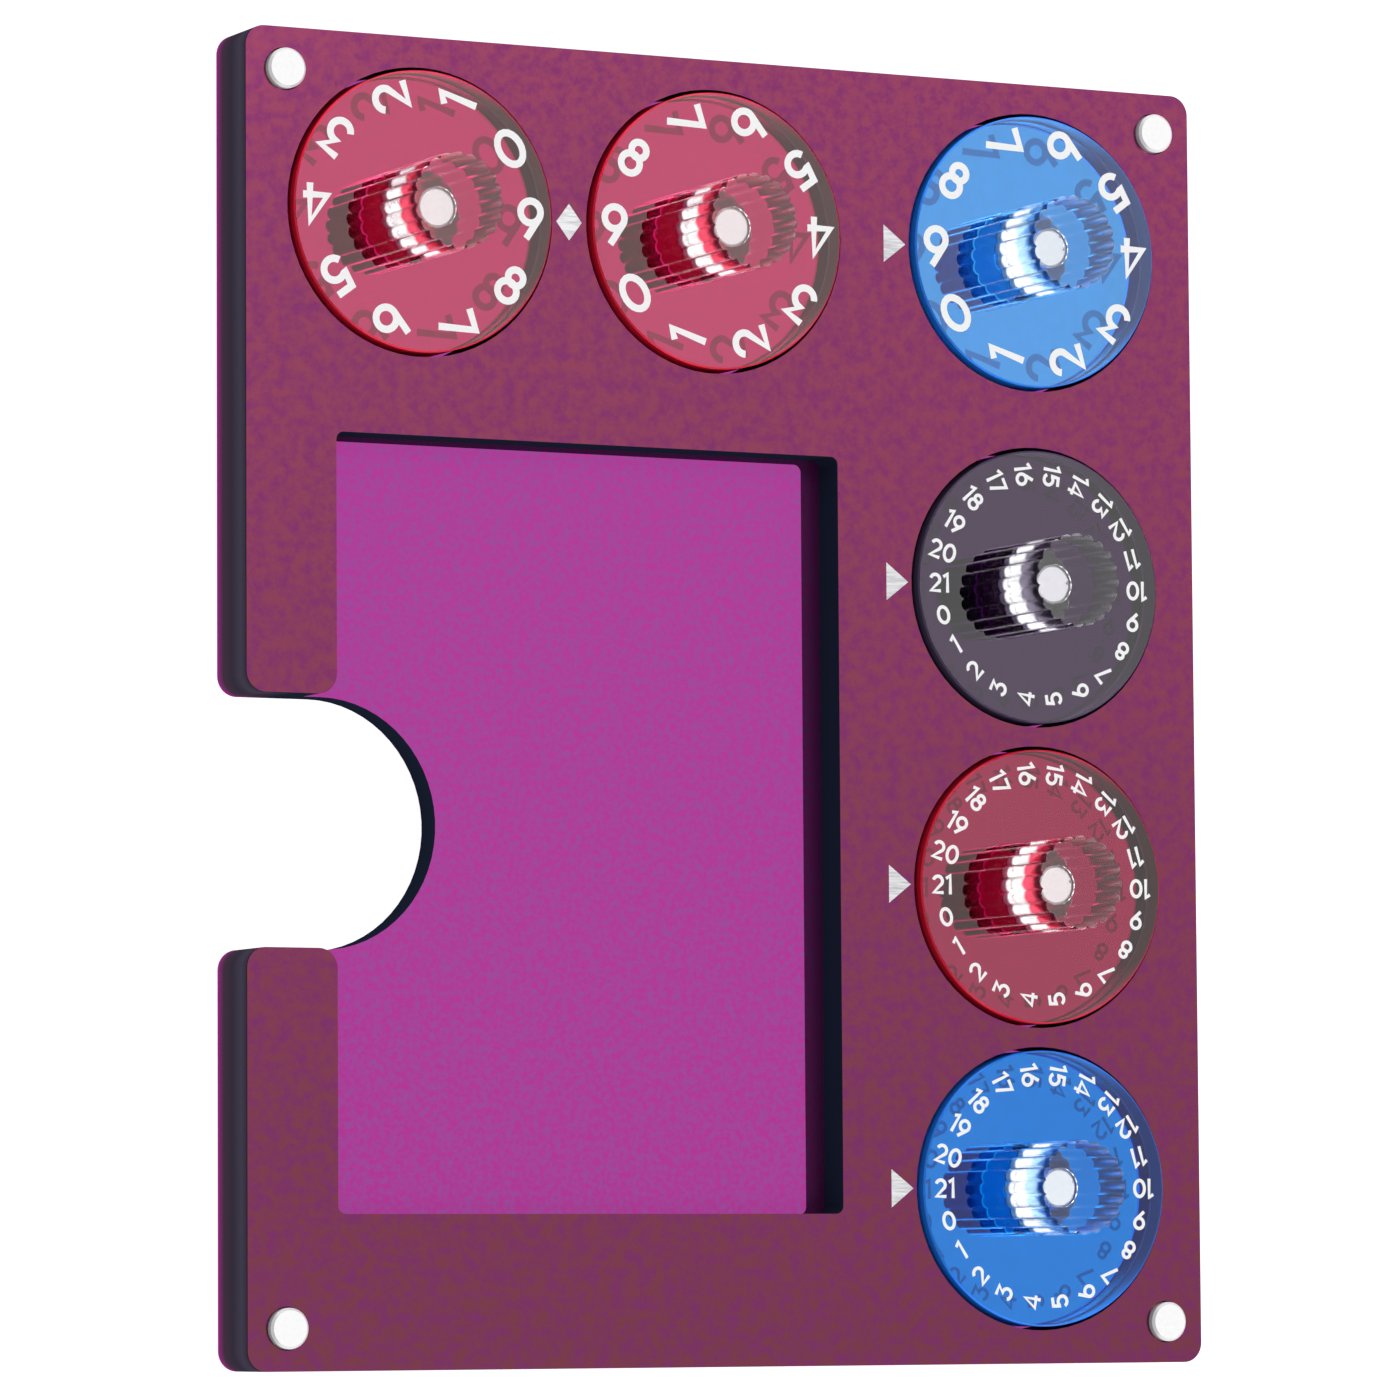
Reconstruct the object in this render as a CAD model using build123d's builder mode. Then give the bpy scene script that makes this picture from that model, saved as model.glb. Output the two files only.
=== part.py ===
from build123d import *
import os

# Card game tray of laser-cut clear sheet. Three bonded plates hold a rectangular
# well, a finger notch beside it, and six counter dials that turn on metal pins.
# Sizes are in millimetres. +Z is up, out of the tray's face, +Y is towards its
# top edge, and the origin is at the centre of the underside.

# Plates
back_thickness = 4.0
middle_thickness = 2.0
front_thickness = 3.0
outer_corner_radius = 2.5

# Well, cut through the front and middle plates, with the shares of the sheet left
# over that lie at its left and below it
well_width = 69.5
well_length = 95.5
well_corner_radius = 1.0
well_left_share = 0.5333
well_bottom_share = 0.662

# Finger notch, open at the tray's left side, with its corner radius as a share of
# the sheet beside the well
notch_width = 31.0
notch_corner_share = 0.208

# Dials, in pockets through the front and middle plates
dial_diameter = 35.0
dial_thickness = 5.0
pocket_clearance = 0.5

# Sheet left round the pockets: rims at the tray's sides, webs between two pockets
side_rim = 5.5
top_rim = 3.8
bottom_rim = 4.2
pair_web = 4.7
pointer_web = 9.8
upper_web = 7.2
lower_web = 2.4

# Washers, one under each dial
washer_diameter = 12.0
washer_thickness = 1.0
washer_clearance = 0.15

# Metal pins at the corners and in the dials
pin_diameter = 5.0
pin_chamfer = 0.3
pin_margin = 5.2
pin_stand = 1.0
pin_hole_clearance = 0.15
running_clearance = 0.05

# Knobs, one on each dial, with a shallow blind bore that clears the pin's end
knob_diameter = 12.0
knob_height = 10.0
knob_lobes = 20
lobe_radius = 1.0
knob_bore_depth = 0.3

# Engraved marks beside the dials
mark_depth = 0.2
pointer_width = 3.2
pointer_height = 4.9
pointer_gap = 0.4
diamond_width = 3.6
diamond_height = 4.7

# Every cut runs this far past the face that it leaves
overrun = 1.0

# Levels, from the underside up
middle_bottom = back_thickness
front_bottom = middle_bottom + middle_thickness
face_level = front_bottom + front_thickness
dial_bottom = back_thickness + washer_thickness
knob_bottom = dial_bottom + dial_thickness

# Radii of the round fits
pocket_diameter = dial_diameter + 2 * pocket_clearance
pocket_radius = pocket_diameter / 2
pin_radius = pin_diameter / 2
pin_hole_radius = pin_radius + pin_hole_clearance
bore_radius = pin_radius + running_clearance

# The tray holds three dials in a row along its top and four in a column down its
# right side
tray_width = 2 * side_rim + 3 * pocket_diameter + pair_web + pointer_web
tray_length = bottom_rim + 4 * pocket_diameter + 2 * lower_web + upper_web + top_rim
left_side = -tray_width / 2
right_side = tray_width / 2
bottom_side = -tray_length / 2
top_side = tray_length / 2

# The well lies in the corner that the dials leave, and the notch is centred on it
spare_width = tray_width - side_rim - pocket_diameter - well_width
spare_length = tray_length - top_rim - pocket_diameter - well_length
well_left_rim = well_left_share * spare_width
notch_corner_radius = notch_corner_share * well_left_rim
well_left = left_side + well_left_rim
well_x = well_left + well_width / 2
well_y = bottom_side + well_bottom_share * spare_length + well_length / 2
notch_bottom = well_y - notch_width / 2
notch_top = well_y + notch_width / 2

# Dial centres: three along the top, then three down the right side
left_dial_x = left_side + side_rim + pocket_radius
right_dial_x = right_side - side_rim - pocket_radius
top_dial_y = top_side - top_rim - pocket_radius
low_dial_y = bottom_side + bottom_rim + pocket_radius
pair_pitch = pocket_diameter + pair_web
lower_pitch = pocket_diameter + lower_web
dial_places = {
    "top_left": (left_dial_x, top_dial_y),
    "top_middle": (left_dial_x + pair_pitch, top_dial_y),
    "top_right": (right_dial_x, top_dial_y),
    "upper_side": (right_dial_x, low_dial_y + 2 * lower_pitch),
    "middle_side": (right_dial_x, low_dial_y + lower_pitch),
    "lower_side": (right_dial_x, low_dial_y),
}

# Corner pin centres
corner_places = {
    "top_left": (left_side + pin_margin, top_side - pin_margin),
    "top_right": (right_side - pin_margin, top_side - pin_margin),
    "bottom_left": (left_side + pin_margin, bottom_side + pin_margin),
    "bottom_right": (right_side - pin_margin, bottom_side + pin_margin),
}

os.makedirs("parts", exist_ok=True)


def write_node(part, name):
    part.label = name
    export_step(part, f"parts/{name}.step")


# Outline of the front and middle plates: the well opens into the notch, and the
# corners that the notch leaves are rounded
with BuildSketch() as frame_outline:
    RectangleRounded(tray_width, tray_length, outer_corner_radius)
    with Locations((well_x, well_y)):
        RectangleRounded(well_width, well_length, well_corner_radius, mode=Mode.SUBTRACT)
    with Locations((left_side - overrun, well_y)):
        Rectangle(
            well_left_rim + 2 * overrun,
            notch_width,
            align=(Align.MIN, Align.CENTER),
            mode=Mode.SUBTRACT,
        )
    notch_corners = frame_outline.vertices().filter_by_position(
        Axis.Y, notch_bottom - overrun, notch_top + overrun
    )
    fillet(notch_corners, notch_corner_radius)
    with Locations(*dial_places.values()):
        Circle(pocket_radius, mode=Mode.SUBTRACT)
    with Locations(*corner_places.values()):
        Circle(pin_hole_radius, mode=Mode.SUBTRACT)

# Outline of the back plate: it floors the well, and its notch ends in a half
# circle inside the well
with BuildSketch() as back_outline:
    RectangleRounded(tray_width, tray_length, outer_corner_radius)
    with Locations((left_side - overrun, well_y)):
        Rectangle(
            well_left_rim + overrun,
            notch_width,
            align=(Align.MIN, Align.CENTER),
            mode=Mode.SUBTRACT,
        )
    mouth_corners = back_outline.vertices().filter_by_position(
        Axis.Y, notch_bottom - overrun, notch_top + overrun
    )
    fillet(mouth_corners.group_by(Axis.X)[0], notch_corner_radius)
    with Locations((well_left, well_y)):
        Circle(notch_width / 2, mode=Mode.SUBTRACT)
    with Locations(*dial_places.values(), *corner_places.values()):
        Circle(pin_hole_radius, mode=Mode.SUBTRACT)

# Engraved marks: a diamond midway between the first two dials, and a pointer at
# the left of each dial on the right side
pointer_tip_x = right_dial_x - pocket_radius - pointer_gap
diamond_x = left_dial_x + pair_pitch / 2
pointer_rows = [y for x, y in dial_places.values() if x == right_dial_x]

with BuildSketch(Plane.XY.offset(face_level)) as marks:
    with BuildLine():
        Polyline(
            (diamond_x - diamond_width / 2, top_dial_y),
            (diamond_x, top_dial_y - diamond_height / 2),
            (diamond_x + diamond_width / 2, top_dial_y),
            (diamond_x, top_dial_y + diamond_height / 2),
            close=True,
        )
    make_face()
    for row_y in pointer_rows:
        with BuildLine():
            Polyline(
                (pointer_tip_x, row_y),
                (pointer_tip_x - pointer_width, row_y + pointer_height / 2),
                (pointer_tip_x - pointer_width, row_y - pointer_height / 2),
                close=True,
            )
        make_face()

# Back plate
with BuildPart() as back_plate:
    with BuildSketch():
        add(back_outline.sketch)
    extrude(amount=back_thickness)
write_node(back_plate.part, "back_plate")

# Middle plate
with BuildPart() as middle_plate:
    with BuildSketch(Plane.XY.offset(middle_bottom)):
        add(frame_outline.sketch)
    extrude(amount=middle_thickness)
write_node(middle_plate.part, "middle_plate")

# Front plate
with BuildPart() as front_plate:
    with BuildSketch(Plane.XY.offset(front_bottom)):
        add(frame_outline.sketch)
    extrude(amount=front_thickness)
    extrude(marks.sketch, amount=-mark_depth, mode=Mode.SUBTRACT)
write_node(front_plate.part, "front_plate")

# Corner pins, through the three plates and standing proud of the face, with the
# rim of the free end broken
for place, (x, y) in corner_places.items():
    with BuildPart() as corner_pin:
        with BuildSketch(Plane(origin=(x, y, 0))):
            Circle(pin_radius)
        extrude(amount=face_level + pin_stand)
        chamfer(corner_pin.edges().filter_by(GeomType.CIRCLE).sort_by(Axis.Z)[-1], pin_chamfer)
    write_node(corner_pin.part, f"corner_pin_{place}")

# What each dial is made of, and what it turns on
for place, (x, y) in dial_places.items():
    # Axle pin, held in the back plate, with its top level with the dial's face
    with BuildPart() as axle_pin:
        with BuildSketch(Plane(origin=(x, y, 0))):
            Circle(pin_radius)
        extrude(amount=knob_bottom)
        chamfer(axle_pin.edges().filter_by(GeomType.CIRCLE).sort_by(Axis.Z)[-1], pin_chamfer)
    write_node(axle_pin.part, f"axle_pin_{place}")

    # Washer, on the pocket's floor
    with BuildPart() as washer:
        with BuildSketch(Plane(origin=(x, y, back_thickness))):
            Circle(washer_diameter / 2)
            Circle(pin_radius + washer_clearance, mode=Mode.SUBTRACT)
        extrude(amount=washer_thickness)
    write_node(washer.part, f"washer_{place}")

    # Dial, a disc with a running bore
    with BuildPart() as dial:
        with BuildSketch(Plane(origin=(x, y, dial_bottom))):
            Circle(dial_diameter / 2)
            Circle(bore_radius, mode=Mode.SUBTRACT)
        extrude(amount=dial_thickness)
    write_node(dial.part, f"dial_{place}")

    # Knob, a ring of round lobes with a blind bore over the pin's end
    with BuildPart() as knob:
        with BuildSketch(Plane(origin=(x, y, knob_bottom))):
            Circle(knob_diameter / 2 - lobe_radius)
            with PolarLocations(knob_diameter / 2 - lobe_radius, knob_lobes):
                Circle(lobe_radius)
        extrude(amount=knob_height)
        with BuildSketch(Plane(origin=(x, y, knob_bottom))):
            Circle(bore_radius)
        extrude(amount=knob_bore_depth, mode=Mode.SUBTRACT)
    write_node(knob.part, f"knob_{place}")
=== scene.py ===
# %% [markdown]
# # A card game tray with six counter dials
#
# The tray is laser-cut tinted acrylic: three bonded plates with a sunk well, a
# finger notch and six round pockets. A clear dial with a fluted knob turns in
# each pocket, on a metal pin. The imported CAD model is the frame: its nodes give
# every place and size, and this lesson dresses them.

# %% Load the frame
import math
import bmesh
import bpy
from mathutils import Color, Matrix, Vector


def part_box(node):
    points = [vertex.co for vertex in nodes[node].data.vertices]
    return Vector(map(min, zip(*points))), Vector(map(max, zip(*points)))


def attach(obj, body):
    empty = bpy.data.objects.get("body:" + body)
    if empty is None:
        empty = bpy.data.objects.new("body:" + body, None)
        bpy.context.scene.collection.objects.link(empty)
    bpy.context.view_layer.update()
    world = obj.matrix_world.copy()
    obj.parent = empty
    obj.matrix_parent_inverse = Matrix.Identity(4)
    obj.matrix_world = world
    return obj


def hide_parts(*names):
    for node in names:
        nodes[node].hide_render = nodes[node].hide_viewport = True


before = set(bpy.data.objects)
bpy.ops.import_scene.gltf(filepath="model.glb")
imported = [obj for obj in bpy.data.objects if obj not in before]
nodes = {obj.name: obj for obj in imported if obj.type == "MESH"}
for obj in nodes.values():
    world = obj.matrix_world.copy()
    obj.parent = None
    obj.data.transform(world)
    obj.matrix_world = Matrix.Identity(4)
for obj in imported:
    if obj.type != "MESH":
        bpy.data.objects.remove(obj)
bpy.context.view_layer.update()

# %% [markdown]
# ## Camera
#
# The photograph was taken with a long lens, a little to the tray's left. The
# camera could be placed by eye, but its place, its three angles and its lens
# were fitted to the tray's corners and dial centres, so that the render lies on
# the photograph. A camera looks along its own -Z, and its matrix is built from
# the three angles.

# %% The camera
SENSOR_WIDTH = 36.0
LENS = 192.95
CAMERA_PLACE = Vector((-0.43035, -0.0740, 0.8382))
YAW = math.radians(27.14)
PITCH = math.radians(-4.62)
ROLL = math.radians(0.37)

scene = bpy.context.scene
turn = (Matrix.Rotation(ROLL, 3, "Z") @ Matrix.Rotation(PITCH, 3, "X")
        @ Matrix.Rotation(YAW, 3, "Y")).transposed()
camera_data = bpy.data.cameras.new("camera")
camera_data.sensor_width = SENSOR_WIDTH
camera_data.lens = LENS
camera = bpy.data.objects.new("camera", camera_data)
camera.matrix_world = Matrix.Translation(CAMERA_PLACE) @ turn.to_4x4()
scene.collection.objects.link(camera)
scene.camera = camera
scene.view_settings.view_transform = "Standard"
print("camera's back points along", tuple(round(v, 3) for v in turn.col[2]))

# %% [markdown]
# A ray that enters a clear knob is often turned back inside it many times
# before it leaves. The default of four glossy reflections cuts such rays off
# and leaves black patches, so more are allowed.

# %% Reflections inside clear plastic
CLEAR_BOUNCES = 20
scene.cycles.max_bounces = CLEAR_BOUNCES
scene.cycles.glossy_bounces = CLEAR_BOUNCES
scene.cycles.transmission_bounces = CLEAR_BOUNCES
print("bounces", scene.cycles.max_bounces)

# %% [markdown]
# ## Nodes
#
# Light, finishes and rings of numbers are all trees of nodes, where the output
# of one node feeds the input of another. Each node made and joined by hand
# takes many lines, so a few helpers make the ones that come up most. They take
# sockets and plain values alike, and most give back the socket of their result.

# %% Making and joining nodes
def feed(tree, value, socket):
    """Joins an output to an input socket, or sets the input to a plain value."""
    if isinstance(value, bpy.types.NodeSocket):
        tree.links.new(value, socket)
    else:
        socket.default_value = value


def feed_all(tree, node, inputs):
    """Feeds a node's inputs, which are given by name or number."""
    for key, value in inputs.items():
        feed(tree, value, node.inputs[key])


def add_node(tree, kind, inputs=None, **settings):
    """A new node with its settings made and its inputs fed."""
    node = tree.nodes.new(kind)
    for setting, value in settings.items():
        setattr(node, setting, value)
    feed_all(tree, node, inputs or {})
    return node


print("helpers", feed.__name__, feed_all.__name__, add_node.__name__)

# %% Values, mixes and ramps
def math_node(tree, operation, *values):
    """The result of a Math node."""
    return add_node(tree, "ShaderNodeMath", dict(enumerate(values)), operation=operation).outputs[0]


def remap(tree, value, start=0.0, end=1.0, low=0.0, high=1.0):
    """A value that goes from low to high while the given one goes from start to end."""
    sizes = {"Value": value, "From Min": start, "From Max": end, "To Min": low, "To Max": high}
    return add_node(tree, "ShaderNodeMapRange", sizes).outputs["Result"]


def mix_colour(tree, mask, low, high):
    """One colour where the mask is 0, and another where it is 1."""
    # A Mix node has sockets for every type of data: its colours are inputs 6 and 7
    inputs = {"Factor": mask, 6: low, 7: high}
    return add_node(tree, "ShaderNodeMix", inputs, data_type="RGBA").outputs[2]


def ramp(tree, value, stops):
    """A colour ramp over a value, from (position, colour) stops."""
    node = add_node(tree, "ShaderNodeValToRGB", {0: value})
    elements = node.color_ramp.elements
    # A ramp starts with two stops, and the others are added between them
    for _ in range(len(stops) - 2):
        elements.new(0.5)
    for element, (position, colour) in zip(elements, stops):
        element.position = position
        element.color = colour
    return node.outputs["Color"]


def split(tree, vector):
    """The X, Y and Z of a vector."""
    return add_node(tree, "ShaderNodeSeparateXYZ", {0: vector}).outputs


print("helpers", math_node.__name__, remap.__name__, mix_colour.__name__, ramp.__name__,
      split.__name__)

# %% [markdown]
# ## Light
#
# Clear plastic shows what is round it, so the tray lies in a white tent. The
# world is white where the camera, a reflection or a ray through the plastic
# sees it, and a plain grey where it only lights things. An even white would do
# for a dull object, but a real tent has an opening to look in through, and that
# gives clear plastic its dark edges, so the white fades to dark round a fixed
# direction at the left. A knob's wall also catches a bright band from a lit
# ring of the tent, which only rays through the plastic see. Two soft boxes
# give the glints on the pins, and rays through the plastic don't see them.

# %% Where the tent shows
def white_where_seen(tree):
    """A value that is 1 for camera, glossy and transmission rays."""
    path = tree.nodes.new("ShaderNodeLightPath").outputs
    seen = math_node(tree, "MAXIMUM", path["Is Camera Ray"], path["Is Glossy Ray"])
    return math_node(tree, "MAXIMUM", seen, path["Is Transmission Ray"])


def nearness(tree, direction):
    """How near a ray points to a fixed direction, as the cosine of the angle between them."""
    inputs = {0: tree.nodes.new("ShaderNodeTexCoord").outputs["Generated"],
              1: Vector(direction).normalized()}
    return add_node(tree, "ShaderNodeVectorMath", inputs, operation="DOT_PRODUCT").outputs["Value"]


print("helpers", white_where_seen.__name__, nearness.__name__)

# %% The tent's wall
OPENING = (-0.80, -0.08, 0.60)
OPENING_EDGE = (0.45, 0.60)
OPENING_DARK = 0.06
RING_SIDE = (0.456, 0.078, 0.888)
RING_STOPS = [(0.84, 0.0), (0.90, 3.2), (0.972, 3.2), (0.99, 0.0)]


def tent_wall(tree):
    """White, dark round the opening, with a lit ring that rays through the plastic see."""
    wall = remap(tree, nearness(tree, OPENING), *OPENING_EDGE, 1.0, OPENING_DARK)
    stops = [(near, (light, light, light, 1.0)) for near, light in RING_STOPS]
    ring = ramp(tree, nearness(tree, RING_SIDE), stops)
    path = tree.nodes.new("ShaderNodeLightPath").outputs
    lit = math_node(tree, "MULTIPLY_ADD", ring, path["Is Transmission Ray"], wall)
    return math_node(tree, "MAXIMUM", path["Is Camera Ray"], lit)


print("opening towards", OPENING, "ring towards", RING_SIDE)

# %% The white tent
FILL_LIGHT = 0.60
WHITE = (1.0, 1.0, 1.0, 1.0)

world = bpy.data.worlds.new("white_tent")
scene.world = world
world.use_nodes = True
tent = world.node_tree
tent.nodes.clear()
strength = remap(tent, white_where_seen(tent), low=FILL_LIGHT, high=tent_wall(tent))
background = add_node(tent, "ShaderNodeBackground", {"Color": WHITE, "Strength": strength})
add_node(tent, "ShaderNodeOutputWorld", {"Surface": background.outputs[0]})
print("tent fill", FILL_LIGHT)

# %% The soft boxes
SOFT_BOXES = {"upper_box": (0.27, 0.58, 1.24), "lower_box": (0.42, -0.49, 1.24)}
BOX_SIZE = 0.4
BOX_POWER = 4.0

for name, place in SOFT_BOXES.items():
    lamp = bpy.data.lights.new(name, "AREA")
    lamp.size = BOX_SIZE
    lamp.energy = BOX_POWER
    box = bpy.data.objects.new(name, lamp)
    box.location = place
    box.rotation_euler = Vector(place).to_track_quat("Z", "Y").to_euler()
    box.visible_transmission = False
    scene.collection.objects.link(box)
    print(name, "at", place)

# %% [markdown]
# ## Shared shader groups
#
# Three effects are used by several finishes, so each is a node group. The
# first is the cloudy tint that cast sheet has. The second tells the cut sides
# of a sheet from its faces: light runs a long way through the sheet before it
# leaves at a side, so a side is darker. The third is the fine scuffing that
# lifts the roughness here and there.

# %% A helper for groups
def new_group(name, kind, inputs, outputs):
    """A node group, with its start and end, from its sockets' names and types."""
    group = bpy.data.node_groups.new(name, kind)
    for side, sockets in (("INPUT", inputs), ("OUTPUT", outputs)):
        for socket, data in sockets.items():
            group.interface.new_socket(socket, in_out=side, socket_type="NodeSocket" + data)
    start = group.nodes.new("NodeGroupInput").outputs
    end = group.nodes.new("NodeGroupOutput").inputs
    return group, start, end


print("helper", new_group.__name__)

# %% Cloudy tint
CLOUD_DETAIL = 6.0
CLOUD_GRAIN = 0.7
CLOUD_EDGES = (0.42, 0.62)


def build_cloudy_tint():
    """A colour that turns to a second one in soft clouds."""
    group, start, end = new_group(
        "cloudy_tint", "ShaderNodeTree",
        {"Place": "Vector", "Colour": "Color", "Cloud": "Color",
         "Scale": "Float", "Amount": "Float"},
        {"Colour": "Color"})
    noise = add_node(group, "ShaderNodeTexNoise", {
        "Vector": start["Place"], "Scale": start["Scale"],
        "Detail": CLOUD_DETAIL, "Roughness": CLOUD_GRAIN}).outputs[0]
    mask = math_node(group, "MULTIPLY", remap(group, noise, *CLOUD_EDGES), start["Amount"])
    feed(group, mix_colour(group, mask, start["Colour"], start["Cloud"]), end["Colour"])
    return group


cloudy_tint = build_cloudy_tint()
print("made", cloudy_tint.name)

# %% Cut sides
FACE_TILT = 0.8


def build_cut_side():
    """1 on the sides of a sheet that stand along Z, 0 on its two faces."""
    group, start, end = new_group(
        "cut_side", "ShaderNodeTree", {"Normal": "Vector"}, {"Mask": "Float"})
    upward = math_node(group, "ABSOLUTE", split(group, start["Normal"])["Z"])
    feed(group, math_node(group, "LESS_THAN", upward, FACE_TILT), end["Mask"])
    return group


cut_side = build_cut_side()
print("made", cut_side.name)

# %% Fine scuffs
SCUFF_DETAIL = 4.0


def build_fine_scuffs():
    """A roughness that wanders between two values."""
    group, start, end = new_group(
        "fine_scuffs", "ShaderNodeTree",
        {"Place": "Vector", "Scale": "Float", "Low": "Float", "High": "Float"},
        {"Roughness": "Float"})
    noise = add_node(group, "ShaderNodeTexNoise", {
        "Vector": start["Place"], "Scale": start["Scale"], "Detail": SCUFF_DETAIL}).outputs[0]
    feed(group, remap(group, noise, low=start["Low"], high=start["High"]), end["Roughness"])
    return group


fine_scuffs = build_fine_scuffs()
print("made", fine_scuffs.name)

# %% Helpers for finishes
def screen(red, green, blue):
    """A colour given as screen values of 0 to 255, in the light's own scale."""
    share = Color((red / 255, green / 255, blue / 255))
    return (*share.from_srgb_to_scene_linear(), 1.0)


def new_finish(name):
    """A node material, with its tree and its shader."""
    material = bpy.data.materials.new(name)
    material.use_nodes = True
    tree = material.node_tree
    return material, tree, tree.nodes["Principled BSDF"]


def place_on(tree):
    """The place on the piece, in the piece's own coordinates."""
    return tree.nodes.new("ShaderNodeTexCoord").outputs["Object"]


def use_group(tree, group, **values):
    """Puts a node group in a material, with its inputs by name, and gives its output."""
    node = add_node(tree, "ShaderNodeGroup", node_tree=group)
    feed_all(tree, node, values)
    return node.outputs[0]


def cut_mask(tree):
    """1 on the cut or turned sides of a piece, 0 on its faces."""
    normal = tree.nodes.new("ShaderNodeNewGeometry").outputs["True Normal"]
    return use_group(tree, cut_side, Normal=normal)


print("mid grey is", screen(128, 128, 128)[0])

# %% [markdown]
# ## The tray's sheet
#
# The three plates are wine-purple acrylic with a mirror film behind them, so a
# face gives back the white tent, tinted. Glass over a mirror would do that too,
# but for a plain face a tinted metal is enough. One finish with two sets of
# values serves the outer faces and the well's floor. A face takes a cloudy tint,
# and over it a painted reflection that goes from a lighter magenta at the tray's
# top edge to a darker brown at its lower edge. The outer side at the left takes
# a ramp over the sheet's height, purple at the underside, where light gathers,
# and darker above. The sides that lie further in are one dark blue.

# %% The colour of a cut side
OUTER_SIDE = 0.003
OUTER_FADE = 0.004
WALL_COLOUR = screen(36, 45, 65)
SIDE_STOPS = [
    (0.0, screen(226, 60, 196)), (0.08, screen(166, 66, 146)), (0.2, screen(92, 70, 90)),
    (0.5, screen(72, 63, 81)), (0.8, screen(88, 82, 102)), (0.95, screen(76, 68, 86)),
    (1.0, screen(46, 34, 42)),
]
tray_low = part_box("back_plate")[0]
tray_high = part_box("front_plate")[1]


def side_colour(tree, at):
    """A ramp over the height near the tray's left side, and one colour further in."""
    outer = ramp(tree, remap(tree, at["Z"], end=tray_high[2]), SIDE_STOPS)
    fade = tray_low[0] + OUTER_SIDE
    return mix_colour(tree, remap(tree, at["X"], fade, fade + OUTER_FADE), outer, WALL_COLOUR)


print("tray from", tuple(tray_low), "to", tuple(tray_high))

# %% Sheet finish
SHEET_SCUFFS = 700.0
SCUFF_SPREAD = 1.4
FACE_METAL = 0.85


def sheet_finish(name, top, bottom, cloud, cloud_scale, cloud_amount, roughness):
    """Tinted sheet over a mirror film: cloudy and metallic on its faces, plain on its sides."""
    material, tree, shader = new_finish(name)
    place = place_on(tree)
    at = split(tree, place)
    cut = cut_mask(tree)
    # Painted reflection: the face is lighter at the tray's top edge and darker at its lower edge
    along = ramp(tree, remap(tree, at["Y"], tray_low[1], tray_high[1]), [(0.0, bottom), (1.0, top)])
    face = use_group(tree, cloudy_tint, Place=place, Colour=along, Cloud=cloud,
                     Scale=cloud_scale, Amount=cloud_amount)
    scuffs = use_group(tree, fine_scuffs, Place=place, Scale=SHEET_SCUFFS,
                       Low=roughness, High=roughness * SCUFF_SPREAD)
    feed_all(tree, shader, {
        "Base Color": mix_colour(tree, cut, face, side_colour(tree, at)),
        "Roughness": scuffs,
        "Metallic": remap(tree, cut, low=FACE_METAL, high=0.0),
        "Specular IOR Level": 0.0,
    })
    return material


print("helper", sheet_finish.__name__)

# %% The three plates
# The top and bottom colours are the two ends of the painted reflection
sheet_face = sheet_finish(
    "sheet_face", top=screen(152, 69, 99), bottom=screen(118, 59, 73),
    cloud=screen(121, 42, 114), cloud_scale=560.0, cloud_amount=0.6, roughness=0.12)
sheet_floor = sheet_finish(
    "sheet_floor", top=screen(183, 63, 157), bottom=screen(177, 55, 148),
    cloud=screen(145, 83, 159), cloud_scale=1300.0, cloud_amount=0.7, roughness=0.01)
plates = {"front_plate": sheet_face, "middle_plate": sheet_face, "back_plate": sheet_floor}
for name, finish in plates.items():
    nodes[name].data.materials[0] = finish
    print(name, "wears", finish.name)

# %% [markdown]
# ## Pins and washers
#
# The pins are polished steel with a duller turned side, and the washers white
# nylon. Their CAD solids already have the right shape, so they only get a
# finish.

# %% Polished pins
TURNED_ROUGHNESS = 0.35
TURNED_SATIN = 0.7


def pin_finish():
    """Steel: polished on its end, and a satin that is rougher and less metallic round its side."""
    material, tree, shader = new_finish("polished_pin")
    place = place_on(tree)
    cut = cut_mask(tree)
    tint = use_group(tree, cloudy_tint, Place=place, Colour=screen(252, 252, 252),
                     Cloud=screen(246, 246, 248), Scale=1500.0, Amount=0.6)
    scuffs = use_group(tree, fine_scuffs, Place=place, Scale=2500.0, Low=0.02, High=0.06)
    turned = math_node(tree, "MULTIPLY", cut, TURNED_ROUGHNESS)
    satin = math_node(tree, "MULTIPLY", cut, TURNED_SATIN)
    feed_all(tree, shader, {
        "Base Color": tint,
        "Roughness": math_node(tree, "MAXIMUM", scuffs, turned),
        "Metallic": math_node(tree, "SUBTRACT", 1.0, satin),
    })
    return material


polished_pin = pin_finish()
print("made", polished_pin.name)

# %% Nylon washers
def washer_finish():
    """Plain white nylon with a faint cloud."""
    material, tree, shader = new_finish("nylon_washer")
    tint = use_group(tree, cloudy_tint, Place=place_on(tree), Colour=screen(222, 222, 218),
                     Cloud=screen(200, 200, 196), Scale=800.0, Amount=0.5)
    feed_all(tree, shader, {"Base Color": tint, "Roughness": 0.5})
    return material


nylon_washer = washer_finish()
for name, node in nodes.items():
    if "pin" in name:
        node.data.materials[0] = polished_pin
    if name.startswith("washer"):
        node.data.materials[0] = nylon_washer
print("pins and washers dressed")

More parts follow.
